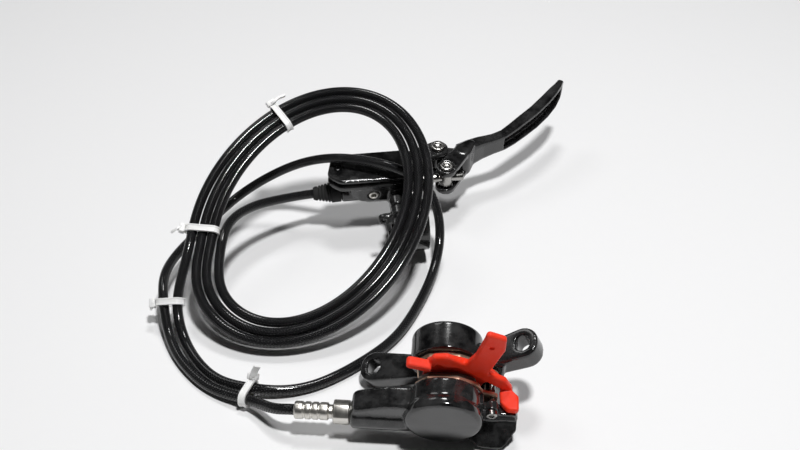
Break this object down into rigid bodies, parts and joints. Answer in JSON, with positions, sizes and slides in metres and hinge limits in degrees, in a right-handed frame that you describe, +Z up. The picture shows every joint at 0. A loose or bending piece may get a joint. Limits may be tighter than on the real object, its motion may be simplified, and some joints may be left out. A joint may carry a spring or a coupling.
{
  "type": "hydraulic disc brake",
  "caption": "Bicycle hydraulic disc brake: lever with master cylinder and bar clamp, coiled hose, and a post mount caliper with a pad spacer in its slot.",
  "frame": {"origin": "on the bench, under the middle of the lever and caliper together (the hose and its ties left out)", "axes": "+X to the right as the brake is seen with the caliper in front, +Y from the caliper towards the lever, +Z up from the bench"},
  "size_m": [0.2224, 0.2696, 0.077],
  "materials": {
    "gloss_black": "gloss black powder coat",
    "steel": "zinc plated steel",
    "plated_silver": "bright nickel plate",
    "anodised_alloy": "anodised",
    "brass": "plain",
    "coppered_steel": "copper flashed steel",
    "friction_lining": "coarse organic friction material",
    "black_rubber": "matt",
    "hose_jacket": "fine braid under a satin jacket",
    "red_plastic": "moulded, satin",
    "white_nylon": "satin"
  },
  "bodies": {
    "brake": {"master_body": "gloss_black", "bar_clamp": "gloss_black", "reservoir_lid": "gloss_black", "caliper_body": "gloss_black", "diaphragm": "black_rubber", "lid_screw_1": "steel", "lid_screw_2": "steel", "clamp_bolt_upper": "steel", "clamp_bolt_lower": "steel", "pivot_pin": "steel", "return_spring": "steel", "snap_ring": "steel", "lever_bleed_screw": "steel", "lever_hose_nut": "steel", "barb_insert": "brass", "hose_boot": "black_rubber", "bore_cap": "plated_silver", "caliper_hose_nut": "plated_silver", "crimp_ferrule": "plated_silver", "piston_seal_outer": "black_rubber", "piston_seal_inner": "black_rubber", "pad_spring": "steel", "pad_pin": "steel", "pad_spacer": "red_plastic", "hose_lever_run": "hose_jacket", "hose_coil": "hose_jacket", "hose_loose_run": "hose_jacket", "cable_tie_top": "white_nylon", "cable_tie_side": "white_nylon", "cable_tie_lower": "white_nylon", "cable_tie_front": "white_nylon"},
    "blade": {"lever_blade": "gloss_black", "pivot_bush_upper": "brass", "pivot_bush_lower": "brass"},
    "barrel": {"swivel_barrel": "steel"},
    "reach": {"reach_screw": "steel"},
    "master_piston_group": {"master_piston": "brass", "primary_seal": "black_rubber", "rear_seal": "black_rubber"},
    "outer_pad_group": {"piston_outer": "anodised_alloy", "pad_plate_outer": "coppered_steel", "pad_lining_outer": "friction_lining"},
    "inner_pad_group": {"piston_inner": "anodised_alloy", "pad_plate_inner": "coppered_steel", "pad_lining_inner": "friction_lining"}
  },
  "joints": [
    {"name": "lever_pivot", "type": "hinge", "parent": "brake", "child": "blade", "pos_m": [-0.00382, 0.0683, 0.0278], "axis": [-0.0242, 0.172, -0.9848], "range_deg": [0, 25], "stiffness_Nm_per_rad": 0.5, "springref_deg": -11.46},
    {"name": "barrel_swivel", "type": "hinge", "parent": "blade", "child": "barrel", "pos_m": [0.00075, 0.05303, 0.02502], "axis": [-0.0242, 0.172, -0.9848], "range_deg": [-25, 0]},
    {"name": "reach_screw_turn", "type": "hinge", "parent": "barrel", "child": "reach", "pos_m": [0.00075, 0.05303, 0.02502], "axis": [0.9903, 0.1392, 0], "range_deg": [-180, 180]},
    {"name": "master_piston_slide", "type": "slide", "parent": "brake", "child": "master_piston_group", "axis": [-0.9903, -0.1392, 0], "range_m": [0, 0.00699], "deforming": ["return_spring"]},
    {"name": "outer_pad_slide", "type": "slide", "parent": "brake", "child": "outer_pad_group", "axis": [0.0705, 0.9601, 0.2706], "range_m": [0, 0.0005]},
    {"name": "inner_pad_slide", "type": "slide", "parent": "brake", "child": "inner_pad_group", "axis": [-0.0705, -0.9601, -0.2706], "range_m": [0, 0.0005]}
  ],
  "couplings": [
    {"joint": "barrel_swivel", "follows": "lever_pivot", "ratio": -1},
    {"joint": "master_piston_slide", "follows": "lever_pivot", "m_per_rad": 0.016012},
    {"joint": "outer_pad_slide", "follows": "lever_pivot", "m_per_rad": 0.0011459},
    {"joint": "inner_pad_slide", "follows": "lever_pivot", "m_per_rad": 0.0011459}
  ]
}
